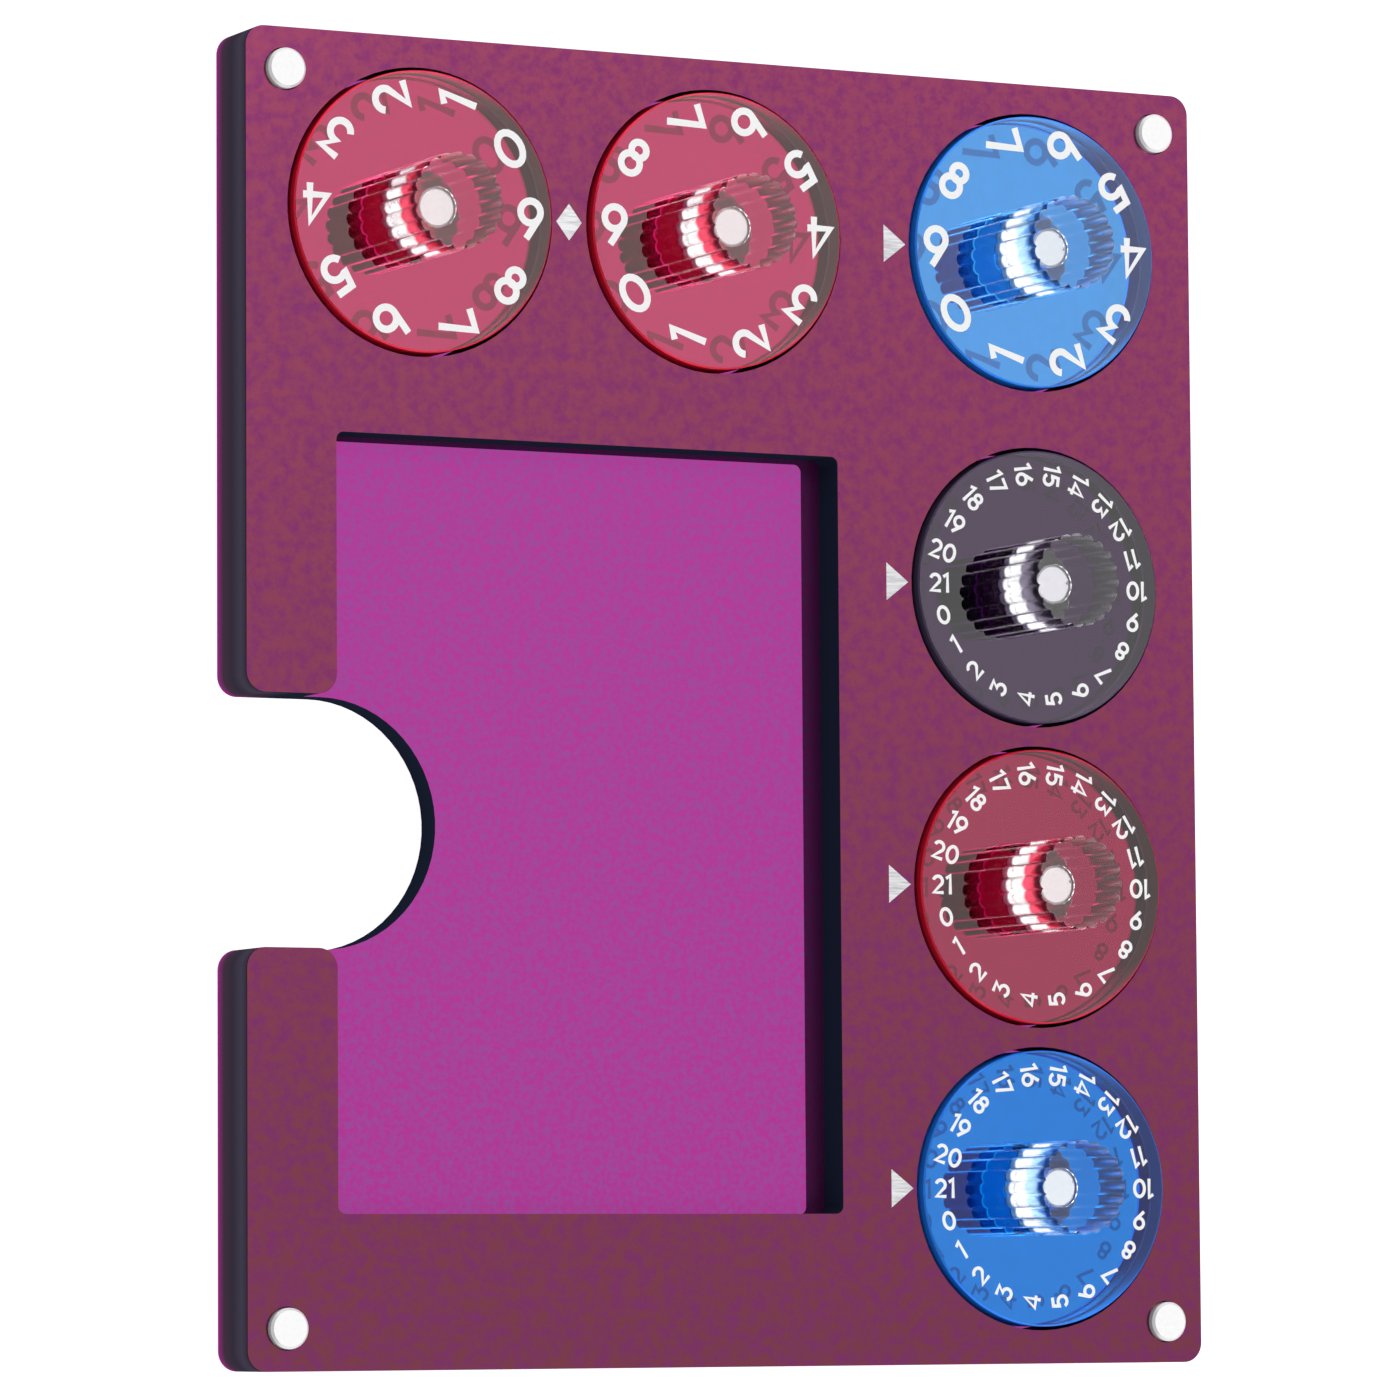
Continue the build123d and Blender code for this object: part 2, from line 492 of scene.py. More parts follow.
# %% [markdown]
# ## Dials
#
# A dial and its knob are clear and bonded, and no seam shows between them, so
# their two CAD solids are replaced by one closed mesh. A Boolean could join
# them, but it leaves long thin faces, which shade badly in clear plastic. This
# mesh is made as on a lathe: rings with the same number of points, joined one
# to the next, so round rings and rings of lobes meet in plain quads. The bond
# holds only round the knob's edge: inside it is a thin gap of air, and plastic
# mirrors the light that meets air at a slant. The mesh carries five finishes:
# the clear body, the mirror film under the dial, the rim that the laser left
# frosted, with a painted shade inside it, the knob's fluted wall, painted with
# light and shade, and the wall of that gap at the knob's foot, which paints
# shade on the light that comes up into the knob.

# %% Rings
LOBES = 20
POINTS_PER_LOBE = 16
RING_POINTS = LOBES * POINTS_PER_LOBE


def round_ring(radius, height):
    """Points on a circle."""
    ring = []
    for i in range(RING_POINTS):
        angle = math.tau * i / RING_POINTS
        ring.append(Vector((radius * math.cos(angle), radius * math.sin(angle), height)))
    return ring


def lobed_ring(radius, lobe, height):
    """Points round a knob of convex lobes: a ray from the centre meets its lobe's circle."""
    ring = []
    reach = radius - lobe
    for i in range(RING_POINTS):
        angle = math.tau * i / RING_POINTS
        step = (i + POINTS_PER_LOBE // 2) % POINTS_PER_LOBE - POINTS_PER_LOBE // 2
        off = math.tau * step / RING_POINTS
        far = reach * math.cos(off) + math.sqrt(lobe ** 2 - (reach * math.sin(off)) ** 2)
        ring.append(Vector((far * math.cos(angle), far * math.sin(angle), height)))
    return ring


print("points in a ring", RING_POINTS)

# %% Bridges and caps
CLEAR, FILM, FROST, FLUTE, FOOT = range(5)


def add_ring(mesh, ring, centre):
    """A ring's vertices, set round a centre."""
    return [mesh.verts.new(point + centre) for point in ring]


def bridge(mesh, first, second, slot):
    """Quads between two rings of vertices."""
    for i in range(RING_POINTS):
        j = (i + 1) % RING_POINTS
        mesh.faces.new((first[i], first[j], second[j], second[i])).material_index = slot


def cap(mesh, ring, slot):
    """A fan from a ring to its middle."""
    middle = sum((vertex.co for vertex in ring), Vector()) / RING_POINTS
    tip = mesh.verts.new(middle)
    for i in range(RING_POINTS):
        mesh.faces.new((ring[i], ring[(i + 1) % RING_POINTS], tip)).material_index = slot


print("slots", CLEAR, FILM, FROST, FLUTE, FOOT)

# %% From mesh to piece
SMOOTH_ANGLE = math.radians(30)


def finish_mesh(mesh, name, materials):
    """An object from a bmesh, with outward normals and edges sharp past an angle."""
    bmesh.ops.recalc_face_normals(mesh, faces=mesh.faces)
    data = bpy.data.meshes.new(name)
    mesh.to_mesh(data)
    mesh.free()
    for material in materials:
        data.materials.append(material)
    data.shade_smooth()
    data.set_sharp_from_angle(angle=SMOOTH_ANGLE)
    piece = bpy.data.objects.new(name, data)
    scene.collection.objects.link(piece)
    return piece


print("edges are sharp past", round(math.degrees(SMOOTH_ANGLE)), "degrees")

# %% One dial with its knob
KNOB_LOBE = 0.0010
EDGE_BREAK = 0.0002
KNOB_BREAK = 0.00005
FILM_GAP = 0.00003
BORE_RADIUS = 0.00255
BORE_DEPTH = 0.0003
AIR_RADIUS = 0.00575
AIR_GAP = 0.00005


def build_dial(place, materials):
    """The closed mesh of a dial and its knob, bonded round the knob's foot."""
    low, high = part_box("dial_" + place)
    knob_low, knob_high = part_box("knob_" + place)
    centre = Vector(((low[0] + high[0]) / 2, (low[1] + high[1]) / 2, 0.0))
    radius = (high[0] - low[0]) / 2
    knob = (knob_high[0] - knob_low[0]) / 2
    floor, face, top = low[2] + FILM_GAP, high[2], knob_high[2]
    outside = [
        (round_ring(radius - EDGE_BREAK, floor), FILM),
        (round_ring(radius, floor + EDGE_BREAK), FROST),
        (round_ring(radius, face - EDGE_BREAK), FROST),
        (round_ring(radius - EDGE_BREAK, face), FROST),
        (lobed_ring(knob, KNOB_LOBE, face), CLEAR),
        (lobed_ring(knob, KNOB_LOBE, top - KNOB_BREAK), FLUTE),
        (lobed_ring(knob - KNOB_BREAK, KNOB_LOBE, top), CLEAR),
        (round_ring(knob / 2, top), CLEAR),
    ]
    inside = [
        (round_ring(BORE_RADIUS, face + AIR_GAP), CLEAR),
        (lobed_ring(AIR_RADIUS, KNOB_LOBE, face + AIR_GAP), FOOT),
        (lobed_ring(AIR_RADIUS, KNOB_LOBE, face), CLEAR),
        (round_ring(BORE_RADIUS, face), CLEAR),
    ]
    mesh = bmesh.new()
    mouth = add_ring(mesh, round_ring(BORE_RADIUS, floor), centre)
    last = mouth
    for ring, slot in outside:
        made = add_ring(mesh, ring, centre)
        bridge(mesh, last, made, slot)
        last = made
    cap(mesh, last, CLEAR)
    last = add_ring(mesh, round_ring(BORE_RADIUS, face + BORE_DEPTH), centre)
    cap(mesh, last, CLEAR)
    for ring, slot in inside:
        made = add_ring(mesh, ring, centre)
        bridge(mesh, last, made, slot)
        last = made
    bridge(mesh, last, mouth, CLEAR)
    return finish_mesh(mesh, "clear_dial_" + place, materials)


print("bore", BORE_RADIUS, "deep", BORE_DEPTH)

# %% [markdown]
# Tinted plastic takes its colour from the way that light goes through it. Here
# each finish lays a tint on the light that crosses its surface, which is simpler
# than a volume and quicker to render. The body is nearly colourless, since the
# film under it already gives its face the dial's colour.

# %% Clear body and mirror film
ACRYLIC_IOR = 1.49
HARD_COAT_IOR = 1.55
FILM_ROUGHNESS = 0.02
BODY_CLOUD_SHARE = 0.985
BODY_CLOUD_SCALE = 60.0
FILM_CLOUD_SHARE = 0.94
FILM_CLOUD_SCALE = 560.0


def faint_cloud(tree, colour, share, scale):
    """A tint with clouds of the same tint, cut to a share of its light."""
    cloud = (*(value * share for value in colour[:3]), 1.0)
    return use_group(tree, cloudy_tint, Place=place_on(tree), Colour=colour, Cloud=cloud,
                     Scale=scale, Amount=1.0)


def clear_finish(name, body, hard_coat):
    """The clear body, with a hard coat that gives images in its front."""
    material, tree, shader = new_finish(name)
    feed_all(tree, shader, {
        "Base Color": faint_cloud(tree, body, BODY_CLOUD_SHARE, BODY_CLOUD_SCALE),
        "Roughness": 0.0, "IOR": ACRYLIC_IOR, "Transmission Weight": 1.0,
        "Coat Weight": hard_coat, "Coat IOR": HARD_COAT_IOR, "Coat Roughness": 0.0,
    })
    return material


def film_finish(name, film):
    """The mirror film behind a dial."""
    material, tree, shader = new_finish(name)
    feed_all(tree, shader, {
        "Base Color": faint_cloud(tree, film, FILM_CLOUD_SHARE, FILM_CLOUD_SCALE),
        "Metallic": 1.0, "Roughness": FILM_ROUGHNESS,
    })
    return material


print("acrylic bends light by", ACRYLIC_IOR)

# %% Frosted rim and bonded foot
RIM_ROUGHNESS = 0.3
RIM_CLEAR_SHARE = 0.3


def by_side(tree, outer, inner):
    """One colour where a ray enters the plastic, and another where it leaves."""
    leaving = tree.nodes.new("ShaderNodeNewGeometry").outputs["Backfacing"]
    return mix_colour(tree, leaving, outer, inner)


def rim_finish(name, outer, inner):
    """The frosted rim: partly clear, with one tint outside and a duller one inside, a painted shade
    on the light that leaves through it.
    """
    material, tree, shader = new_finish(name)
    feed_all(tree, shader, {
        "Base Color": by_side(tree, outer, inner), "Roughness": RIM_ROUGHNESS,
        "IOR": ACRYLIC_IOR, "Transmission Weight": RIM_CLEAR_SHARE,
    })
    return material


def foot_finish(name, body, foot):
    """The knob's foot: it takes light that comes up through the dial, and darkens it as a painted
    shade.
    """
    material, tree, shader = new_finish(name)
    feed_all(tree, shader, {
        "Base Color": by_side(tree, foot, body), "Roughness": 0.0,
        "IOR": ACRYLIC_IOR, "Transmission Weight": 1.0,
    })
    return material


print("rim roughness", RIM_ROUGHNESS)

# %% The knob's fluted wall
FLUTE_ROUGHNESS = 0.25
# Painted light and shade on the knob's wall: dark where it turns away, and in bands over its height
FLUTE_TURN = (0.58, 0.76)
FLUTE_BANDS = [
    (0.0, "dark"), (0.12, "dark"), (0.18, "body"), (0.50, "body"),
    (0.58, "glow"), (0.80, "glow"), (0.90, "dark"),
]
flute_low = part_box("knob_top_left")[0][2]
flute_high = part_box("knob_top_left")[1][2]


def flute_finish(name, colours):
    """The lobed wall, painted with light and shade: dark at its foot and where it turns away,
    glowing near its top.
    """
    material, tree, shader = new_finish(name)
    height = remap(tree, split(tree, place_on(tree))["Z"], flute_low, flute_high)
    bands = ramp(tree, height, [(share, colours[band]) for share, band in FLUTE_BANDS])
    facing = tree.nodes.new("ShaderNodeLayerWeight").outputs["Facing"]
    wall = mix_colour(tree, remap(tree, facing, *FLUTE_TURN), bands, colours["dark"])
    seen = tree.nodes.new("ShaderNodeLightPath").outputs["Is Camera Ray"]
    # Painted shade: rays that other surfaces send to the wall find it dark
    outer = mix_colour(tree, seen, colours["dark"], wall)
    feed_all(tree, shader, {
        "Base Color": by_side(tree, outer, colours["body"]), "Roughness": FLUTE_ROUGHNESS,
        "IOR": ACRYLIC_IOR, "Transmission Weight": 1.0,
    })
    return material


print("flutes from", flute_low, "to", flute_high)

# %% The five colours of dial
# In each tint, dark and glow are the fluted wall's painted shade and painted glow, foot is a
# painted shade at the knob's foot, and rim_inside a painted shade inside the rim
TINTS = {
    "red": {
        "body": (0.98, 0.93, 0.94), "film": (0.53, 0.010, 0.115), "rim": (0.80, 0.01, 0.04),
        "rim_inside": (0.50, 0.30, 0.20), "dark": (0.05, 0.002, 0.006),
        "glow": (0.85, 0.01, 0.03), "foot": (0.30, 0.02, 0.03),
    },
    "blue": {
        "body": (0.93, 0.96, 0.99), "film": (0.040, 0.336, 0.82), "rim": (0.02, 0.25, 0.90),
        "rim_inside": (0.20, 0.48, 1.0), "dark": (0.003, 0.02, 0.10),
        "glow": (0.25, 0.60, 0.95), "foot": (0.10, 0.25, 0.60),
    },
    "grey": {
        "body": (0.94, 0.93, 0.96), "film": (0.034, 0.002, 0.050), "rim": (0.08, 0.06, 0.12),
        "rim_inside": (0.26, 0.14, 0.36), "dark": (0.006, 0.004, 0.01),
        "glow": (0.05, 0.04, 0.07), "foot": (0.03, 0.03, 0.03),
    },
}
# The two shaded ones, for the lower dials, differ from the plain ones in a few of their colours:
# darker films, as painted shade
TINTS["shaded_red"] = TINTS["red"] | {
    "film": (0.335, 0.002, 0.060), "rim_inside": (0.30, 0.14, 0.12), "foot": (0.40, 0.05, 0.06)}
TINTS["shaded_blue"] = TINTS["blue"] | {
    "film": (0.001, 0.205, 0.70), "rim_inside": (0.08, 0.35, 0.95)}
# The shaded ones' thinner hard coats paint a weaker reflection on the lower dials
HARD_COATS = {"red": 1.0, "blue": 1.0, "grey": 1.0, "shaded_red": 0.6, "shaded_blue": 0.0}


def dial_finishes(tint):
    """A dial's five finishes, in the order of the mesh's slots."""
    colours = {use: (*colour, 1.0) for use, colour in TINTS[tint].items()}
    return (
        clear_finish(tint + "_clear", colours["body"], HARD_COATS[tint]),
        film_finish(tint + "_film", colours["film"]),
        rim_finish(tint + "_rim", colours["rim"], colours["rim_inside"]),
        flute_finish(tint + "_flute", colours),
        foot_finish(tint + "_foot", colours["body"], colours["foot"]),
    )


finishes = {tint: dial_finishes(tint) for tint in TINTS}
print("tints", list(finishes))

# %% The six dials
DIAL_TINTS = {
    "top_left": "red", "top_middle": "red", "top_right": "blue",
    "upper_side": "grey", "middle_side": "shaded_red", "lower_side": "shaded_blue",
}
for place, tint in DIAL_TINTS.items():
    piece = build_dial(place, finishes[tint])
    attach(piece, "counter_" + place)
    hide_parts("dial_" + place, "knob_" + place)
    print(piece.name, "faces", len(piece.data.polygons))

# %% [markdown]
# ## Numbers
#
# Each dial counts in white print. A text object could write the numbers, but
# the built-in font's forms aren't the photograph's. So a digit is drawn as the
# path of a pen, in units of its own height, and the pen's line is widened to a
# thin solid. Lines that cross are joined by a Mesh Boolean node, so no faces
# are left inside.

# %% The pen
PEN = 0.175
MITRE_LIMIT = 1.5
SMALLEST_COSINE = 0.01


def arc(x, y, wide, high, start, end, steps=20):
    """Points on part of an ellipse, between two angles in degrees."""
    points = []
    for i in range(steps + 1):
        angle = math.radians(start + (end - start) * i / steps)
        points.append(Vector((x + wide * math.cos(angle), y + high * math.sin(angle))))
    return points


def ellipse(x, y, wide, high):
    """A whole ellipse, without its first point again at its end."""
    return arc(x, y, wide, high, 0, 360)[:-1]


def path(*corners):
    """Straight lines from corner to corner."""
    return [Vector(corner) for corner in corners]


print("pen", PEN)

# %% Both sides of a pen line
def line_sides(points, closed):
    """The points at both sides of a pen line, mitred at its corners."""
    sides = []
    count = len(points)
    for i, point in enumerate(points):
        before = points[i - 1] if closed or i else None
        after = points[(i + 1) % count] if closed or i < count - 1 else None
        lead = (point - before).normalized() if before is not None else (after - point).normalized()
        tail = (after - point).normalized() if after is not None else lead
        along = (lead + tail).normalized()
        across = Vector((-along.y, along.x))
        flat = Vector((-lead.y, lead.x))
        reach = min(1.0 / max(across.dot(flat), SMALLEST_COSINE), MITRE_LIMIT) * PEN / 2
        sides.append((point + across * reach, point - across * reach))
    return sides


print("a straight line is", (line_sides(path((0, 0), (1, 0)), False)[0][0]).y * 2, "wide")

# %% The ten digits
# Each digit's width, and its pen lines with whether each is closed
HALF_PEN = PEN / 2
TOP = 1 - HALF_PEN
BOWL = 0.265
LOW_BOWL = HALF_PEN + BOWL
DIGITS = {
    "0": (0.76, [(ellipse(0.38, 0.5, 0.38 - HALF_PEN, 0.5 - HALF_PEN), True)]),
    "1": (0.36, [(path((0.03, 0.80), (0.27, 0.95), (0.27, 0.0)), False)]),
    "2": (0.68, [(arc(0.34, 0.665, BOWL - 0.005, TOP - 0.665, 165, -35)
                  + path((0.09, HALF_PEN), (0.66, HALF_PEN)), False)]),
    "3": (0.66, [(path((0.06, TOP), (0.57, TOP), (0.29, 0.6))
                  + arc(0.33, LOW_BOWL, BOWL, 0.26, 85, -155), False)]),
    "4": (0.74, [(path((0.54, 0.0), (0.54, 0.92), (0.09, 0.28), (0.72, 0.28)), False)]),
    "5": (0.66, [(path((0.60, TOP), (0.17, TOP), (0.12, 0.56))
                  + arc(0.33, LOW_BOWL, BOWL, 0.26, 125, -155), False)]),
    "6": (0.68, [(ellipse(0.34, LOW_BOWL, BOWL, BOWL), True),
                 (path((0.10, 0.47), (0.46, 1.0)), False)]),
    "7": (0.64, [(path((0.04, TOP), (0.57, TOP), (0.23, 0.0)), False)]),
    "8": (0.66, [(ellipse(0.33, HALF_PEN + 0.24, 0.255, 0.24), True),
                 (ellipse(0.33, TOP - 0.19, 0.205, 0.19), True)]),
}
# A nine is a six turned by half a turn
six_width, six_lines = DIGITS["6"]
DIGITS["9"] = (six_width, [([Vector((six_width, 1.0)) - point for point in points], closed)
                           for points, closed in six_lines])
print("digits", sorted(DIGITS))

# %% White print
INK_PASS = 0.4
INK_ROUGHNESS = 0.45


def print_finish():
    """White ink: solid from above, and thin enough to pass some light from below."""
    material, tree, shader = new_finish("white_print")
    tint = use_group(tree, cloudy_tint, Place=place_on(tree), Colour=screen(250, 250, 250),
                     Cloud=screen(240, 240, 243), Scale=2500.0, Amount=0.5)
    geometry = tree.nodes.new("ShaderNodeNewGeometry").outputs
    above = math_node(tree, "GREATER_THAN", split(tree, geometry["True Normal"])["Z"], 0.0)
    front = math_node(tree, "SUBTRACT", 1.0, geometry["Backfacing"])
    under = math_node(tree, "MULTIPLY", front, 1.0 - INK_PASS)
    feed_all(tree, shader, {
        "Base Color": tint, "Roughness": INK_ROUGHNESS,
        "Alpha": math_node(tree, "MAXIMUM", above, under),
    })
    return material


white_print = print_finish()
print("made", white_print.name)

# %% Pen lines as thin solids
PRINT_LIFT = 0.000005
PRINT_THICK = 0.00003


def add_line(mesh, points, closed, scale, shift):
    """One pen line, widened and given its thickness."""
    columns = []
    for pair in line_sides(points, closed):
        flat = [Vector((p.x * scale + shift.x, p.y * scale + shift.y)) for p in pair]
        columns.append([mesh.verts.new((p.x, p.y, z)) for z in (0.0, PRINT_THICK) for p in flat])
    spans = len(columns) if closed else len(columns) - 1
    for i in range(spans):
        a, b = columns[i], columns[(i + 1) % len(columns)]
        for m, n in ((0, 1), (1, 3), (3, 2), (2, 0)):
            mesh.faces.new((a[m], a[n], b[n], b[m]))
    if not closed:
        for end in (columns[0], columns[-1]):
            mesh.faces.new((end[0], end[1], end[3], end[2]))


print("print is", PRINT_THICK, "thick")

# %% Joining the lines of a digit
def build_join():
    """A Geometry Nodes tree that joins solids that cross."""
    tree, start, end = new_group(
        "join_lines", "GeometryNodeTree", {"Geometry": "Geometry"}, {"Geometry": "Geometry"})
    join = add_node(tree, "GeometryNodeMeshBoolean",
                    {"Mesh 2": start["Geometry"], "Self Intersection": True},
                    operation="UNION", solver="EXACT")
    feed(tree, join.outputs["Mesh"], end["Geometry"])
    return tree


def settle(piece, name):
    """The evaluated mesh of a piece, as a plain mesh object of its own."""
    bpy.context.view_layer.update()
    graph = bpy.context.evaluated_depsgraph_get()
    data = bpy.data.meshes.new_from_object(piece.evaluated_get(graph))
    data.name = name
    return bpy.data.objects.new(name, data)


join_lines = build_join()
print("made", join_lines.name)

# %% One number as a mesh
LETTER_GAP = 0.10


def build_number(number, height):
    """A number of one or two digits, centred on its own middle."""
    mesh = bmesh.new()
    widths = [DIGITS[digit][0] for digit in str(number)]
    x = -(sum(widths) + LETTER_GAP * (len(widths) - 1)) / 2
    for digit, width in zip(str(number), widths):
        for points, closed in DIGITS[digit][1]:
            add_line(mesh, points, closed, height, Vector((x, -0.5)) * height)
        x += width + LETTER_GAP
    bmesh.ops.recalc_face_normals(mesh, faces=mesh.faces)
    data = bpy.data.meshes.new("lines")
    mesh.to_mesh(data)
    mesh.free()
    data.materials.append(white_print)
    drawn = bpy.data.objects.new("lines", data)
    scene.collection.objects.link(drawn)
    drawn.modifiers.new("join", "NODES").node_group = join_lines
    number_piece = settle(drawn, f"number_{number:02d}")
    bpy.data.objects.remove(drawn)
    return number_piece


print("gap between digits", LETTER_GAP)

# %% The two sets of numbers
LARGE_COUNT = 10
LARGE_HEIGHT = 0.0052
SMALL_COUNT = 22
SMALL_HEIGHT = 0.0025


def number_set(name, count, height):
    """A collection of the numbers from 0 up, in order of name."""
    numbers = bpy.data.collections.new(name)
    for number in range(count):
        numbers.objects.link(build_number(number, height))
    return numbers


large_numbers = number_set("large_numbers", LARGE_COUNT, LARGE_HEIGHT)
small_numbers = number_set("small_numbers", SMALL_COUNT, SMALL_HEIGHT)

# %% [markdown]
# The numbers repeat round each dial, so Geometry Nodes sets them out: points on
# a circle, one number of the set on each point, turned with the point's angle.
# One tree serves all six dials, since its sizes are inputs.

# %% The ring of numbers
def build_number_ring():
    """A Geometry Nodes tree that sets numbers out round a circle."""
    tree, start, end = new_group(
        "number_ring", "GeometryNodeTree",
        {"Geometry": "Geometry", "Numbers": "Collection", "Count": "Int", "Radius": "Float",
         "First Angle": "Float", "Turn": "Float", "Centre": "Vector", "Print": "Material"},
        {"Geometry": "Geometry"})
    index = tree.nodes.new("GeometryNodeInputIndex").outputs[0]
    step = math_node(tree, "DIVIDE", math.tau, start["Count"])
    angle = math_node(tree, "ADD", start["First Angle"], math_node(tree, "MULTIPLY", index, step))
    place = add_node(tree, "ShaderNodeCombineXYZ", {
        "X": math_node(tree, "MULTIPLY", start["Radius"], math_node(tree, "COSINE", angle)),
        "Y": math_node(tree, "MULTIPLY", start["Radius"], math_node(tree, "SINE", angle))})
    centred = add_node(tree, "ShaderNodeVectorMath", {0: place.outputs[0], 1: start["Centre"]},
                       operation="ADD")
    points = add_node(tree, "GeometryNodePoints", {
        "Count": start["Count"], "Position": centred.outputs[0]})
    numbers = add_node(tree, "GeometryNodeCollectionInfo", {
        "Collection": start["Numbers"], "Separate Children": True, "Reset Children": True})
    turned = add_node(tree, "ShaderNodeCombineXYZ", {
        "Z": math_node(tree, "ADD", angle, start["Turn"])})
    put = add_node(tree, "GeometryNodeInstanceOnPoints", {
        "Points": points.outputs[0], "Instance": numbers.outputs[0], "Pick Instance": True,
        "Instance Index": index, "Rotation": turned.outputs[0]})
    real = add_node(tree, "GeometryNodeRealizeInstances", {0: put.outputs[0]})
    inked = add_node(tree, "GeometryNodeSetMaterial", {
        "Geometry": real.outputs[0], "Material": start["Print"]})
    feed(tree, inked.outputs[0], end["Geometry"])
    return tree


number_ring = build_number_ring()
print("made", number_ring.name)

# %% What each dial shows
# Numbers, how many, the first one's angle, and the turn that sets one upright
LARGE_STEP = math.tau / LARGE_COUNT
SMALL_STEP = math.tau / SMALL_COUNT
HALF_TURN = math.pi
NUMBER_RINGS = {
    "top_left": (large_numbers, LARGE_COUNT, LARGE_STEP, 0.0),
    "top_middle": (large_numbers, LARGE_COUNT, -4 * LARGE_STEP, HALF_TURN),
    "top_right": (large_numbers, LARGE_COUNT, -4 * LARGE_STEP, HALF_TURN),
}
for place in ("upper_side", "middle_side", "lower_side"):
    NUMBER_RINGS[place] = (small_numbers, SMALL_COUNT, HALF_TURN + SMALL_STEP, HALF_TURN)
print("dials with numbers", len(NUMBER_RINGS))

# %% The six rings of numbers
RING_SHARE = 0.83

for place, (numbers, count, first, turned) in NUMBER_RINGS.items():
    low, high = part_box("dial_" + place)
    values = {
        "Numbers": numbers, "Count": count, "Radius": RING_SHARE * (high[0] - low[0]) / 2,
        "First Angle": first, "Turn": turned, "Print": white_print,
        "Centre": Vector(((low[0] + high[0]) / 2, (low[1] + high[1]) / 2, high[2] + PRINT_LIFT)),
    }
    holder = bpy.data.objects.new("holder", bpy.data.meshes.new("holder"))
    scene.collection.objects.link(holder)
    modifier = holder.modifiers.new("ring", "NODES")
    modifier.node_group = number_ring
    for socket in number_ring.interface.items_tree:
        if socket.in_out == "INPUT" and socket.name in values:
            modifier[socket.identifier] = values[socket.name]
    piece = settle(holder, "numbers_" + place)
    bpy.data.objects.remove(holder)
    scene.collection.objects.link(piece)
    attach(piece, "counter_" + place)
    print(piece.name, "faces", len(piece.data.polygons))

# %% [markdown]
# ## Marks
#
# A diamond between the first two dials and a pointer at the left of each dial
# on the right side are engraved in the face and filled with silver. A mask in
# the sheet's finish could colour them, but the CAD plate has the engraving, so
# a thin solid fills each to just below the face and has a crisp edge.

# %% Silver fill
BRUSH_ANGLE = math.radians(50)
BRUSH_STRETCH = (1.0, 12.0, 1.0)
SILVER_METAL = 0.7
SILVER_ROUGHNESS = 0.4


def silver_finish():
    """Brushed silver: clouds drawn out into streaks along one direction."""
    material, tree, shader = new_finish("silver_fill")
    brushed = add_node(tree, "ShaderNodeMapping", {
        "Vector": place_on(tree), "Rotation": (0.0, 0.0, BRUSH_ANGLE), "Scale": BRUSH_STRETCH})
    tint = use_group(tree, cloudy_tint, Place=brushed.outputs[0], Colour=screen(214, 214, 216),
                     Cloud=screen(164, 164, 168), Scale=300.0, Amount=0.8)
    feed_all(tree, shader, {
        "Base Color": tint, "Metallic": SILVER_METAL, "Roughness": SILVER_ROUGHNESS})
    return material


silver_fill = silver_finish()
print("made", silver_fill.name)

# %% Filling a mark
ENGRAVED = 0.0002
FILL_GAP = 0.00002


def fill_mark(name, outline):
    """A thin prism that fills an engraved mark, a little smaller all round."""
    mesh = bmesh.new()
    face = tray_high[2]
    middle = sum((Vector(point) for point in outline), Vector((0.0, 0.0))) / len(outline)
    rows = []
    for height in (face - ENGRAVED + FILL_GAP, face - FILL_GAP):
        row = []
        for point in outline:
            inward = (middle - Vector(point)).normalized() * 2 * FILL_GAP
            row.append(mesh.verts.new((point[0] + inward.x, point[1] + inward.y, height)))
        mesh.faces.new(row)
        rows.append(row)
    for i in range(len(outline)):
        j = (i + 1) % len(outline)
        mesh.faces.new((rows[0][i], rows[0][j], rows[1][j], rows[1][i]))
    piece = finish_mesh(mesh, name, [silver_fill])
    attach(piece, "tray")
    print(name, "filled")


print("engraved", ENGRAVED, "deep")

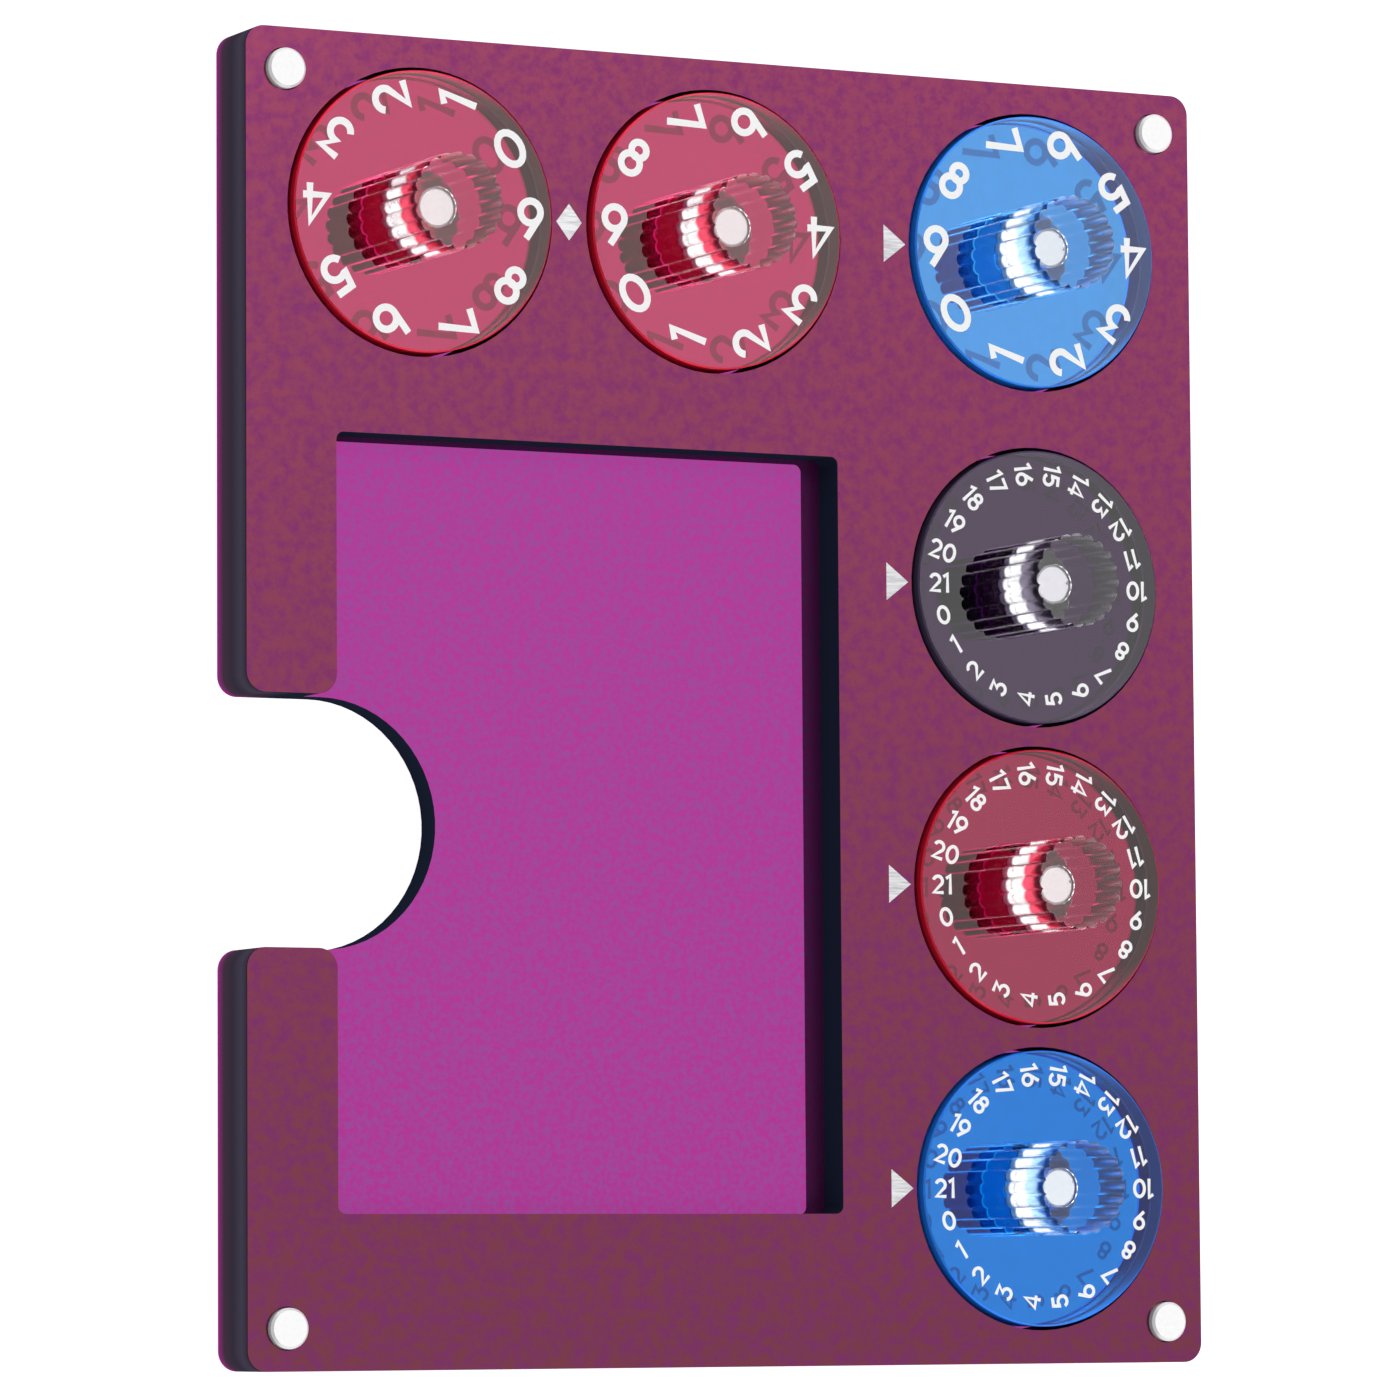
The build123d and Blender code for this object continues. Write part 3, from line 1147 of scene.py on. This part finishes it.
# %% The four pointers
POINTER_WIDE, POINTER_TALL = 0.0032, 0.0049
POINTER_GAP = 0.0009

for place in ("top_right", "upper_side", "middle_side", "lower_side"):
    low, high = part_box("dial_" + place)
    tip, row = low[0] - POINTER_GAP, (low[1] + high[1]) / 2
    back = tip - POINTER_WIDE
    fill_mark("pointer_" + place, [
        (tip, row), (back, row + POINTER_TALL / 2), (back, row - POINTER_TALL / 2)])

# %% The diamond
DIAMOND_WIDE, DIAMOND_TALL = 0.0036, 0.0047

left_low, left_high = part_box("dial_top_left")
middle_x = (left_high[0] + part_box("dial_top_middle")[0][0]) / 2
row = (left_low[1] + left_high[1]) / 2
fill_mark("diamond", [
    (middle_x - DIAMOND_WIDE / 2, row), (middle_x, row - DIAMOND_TALL / 2),
    (middle_x + DIAMOND_WIDE / 2, row), (middle_x, row + DIAMOND_TALL / 2)])

# %% [markdown]
# ## Floor
#
# The tray lies on plain white. A floor that only glowed would lose the tray's
# shadow, so its glow falls short of white and the light on its grey makes up
# the rest, where the tray doesn't shade it.

# %% The floor
HALF_FLOOR = 1.5
FLOOR_DROP = 0.0002
FLOOR_CORNERS = ((-1, -1), (1, -1), (1, 1), (-1, 1))

floor_mesh = bpy.data.meshes.new("floor")
corners = [(x * HALF_FLOOR, y * HALF_FLOOR, -FLOOR_DROP) for x, y in FLOOR_CORNERS]
floor_mesh.from_pydata(corners, [], [(0, 1, 2, 3)])
floor = bpy.data.objects.new("floor", floor_mesh)
scene.collection.objects.link(floor)
print("floor", 2 * HALF_FLOOR)

# %% White floor
FLOOR_GREY = (0.5, 0.5, 0.5, 1.0)
FLOOR_ROUGHNESS = 0.9
FLOOR_GLOW = 0.85

floor_material, floor_tree, floor_shader = new_finish("white_floor")
feed_all(floor_tree, floor_shader, {
    "Base Color": FLOOR_GREY, "Roughness": FLOOR_ROUGHNESS, "Emission Color": WHITE,
    "Emission Strength": math_node(
        floor_tree, "MULTIPLY", white_where_seen(floor_tree), FLOOR_GLOW),
})
floor_mesh.materials.append(floor_material)
print("floor glows by", FLOOR_GLOW)
